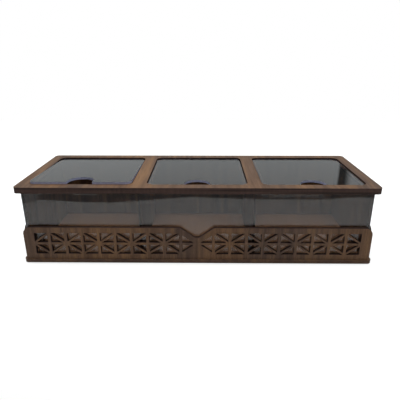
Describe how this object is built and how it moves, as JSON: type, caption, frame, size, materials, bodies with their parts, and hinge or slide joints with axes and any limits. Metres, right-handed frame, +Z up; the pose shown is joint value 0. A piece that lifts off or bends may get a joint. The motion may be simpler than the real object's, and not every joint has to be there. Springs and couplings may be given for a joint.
{
  "type": "tea organizer box",
  "caption": "Long low box on a wooden plinth with a star lattice, with a smoked clear front over wooden walls, and a wooden top frame with three loose lift-off lids over three compartments.",
  "frame": {"origin": "on the surface the box stands on, under the middle of the box", "axes": "+X along the box to the right, +Y to the back, +Z up; the lattice panel faces -Y"},
  "size_m": [0.38, 0.134, 0.0902],
  "materials": {
    "walnut_board": "walnut-toned satin board with dark laser-cut edges",
    "raw_board": "bare light board",
    "smoked_wall": "polished smoked acrylic",
    "smoked_lid": "polished smoked acrylic",
    "foot_pad": "matt black"
  },
  "bodies": {
    "root": {"plinth": "walnut_board", "floor_panel": "raw_board", "skirt_front": "walnut_board", "skirt_back": "walnut_board", "skirt_left": "walnut_board", "skirt_right": "walnut_board", "wall_front": "smoked_wall", "wall_back": "walnut_board", "wall_left": "walnut_board", "wall_right": "walnut_board", "divider_left": "walnut_board", "divider_right": "walnut_board", "ledge_frame": "walnut_board", "top_frame": "walnut_board", "foot_pad_front_left": "foot_pad", "foot_pad_front_right": "foot_pad", "foot_pad_back_left": "foot_pad", "foot_pad_back_right": "foot_pad"},
    "left_lid": {"lid_left": "smoked_lid"},
    "middle_lid": {"lid_middle": "smoked_lid"},
    "right_lid": {"lid_right": "smoked_lid"}
  },
  "joints": [
    {"name": "left_lid_lift", "type": "slide", "parent": "root", "child": "left_lid", "axis": [0, 0, 1], "range_m": [0, 0.06]},
    {"name": "middle_lid_lift", "type": "slide", "parent": "root", "child": "middle_lid", "axis": [0, 0, 1], "range_m": [0, 0.06]},
    {"name": "right_lid_lift", "type": "slide", "parent": "root", "child": "right_lid", "axis": [0, 0, 1], "range_m": [0, 0.06]}
  ]
}
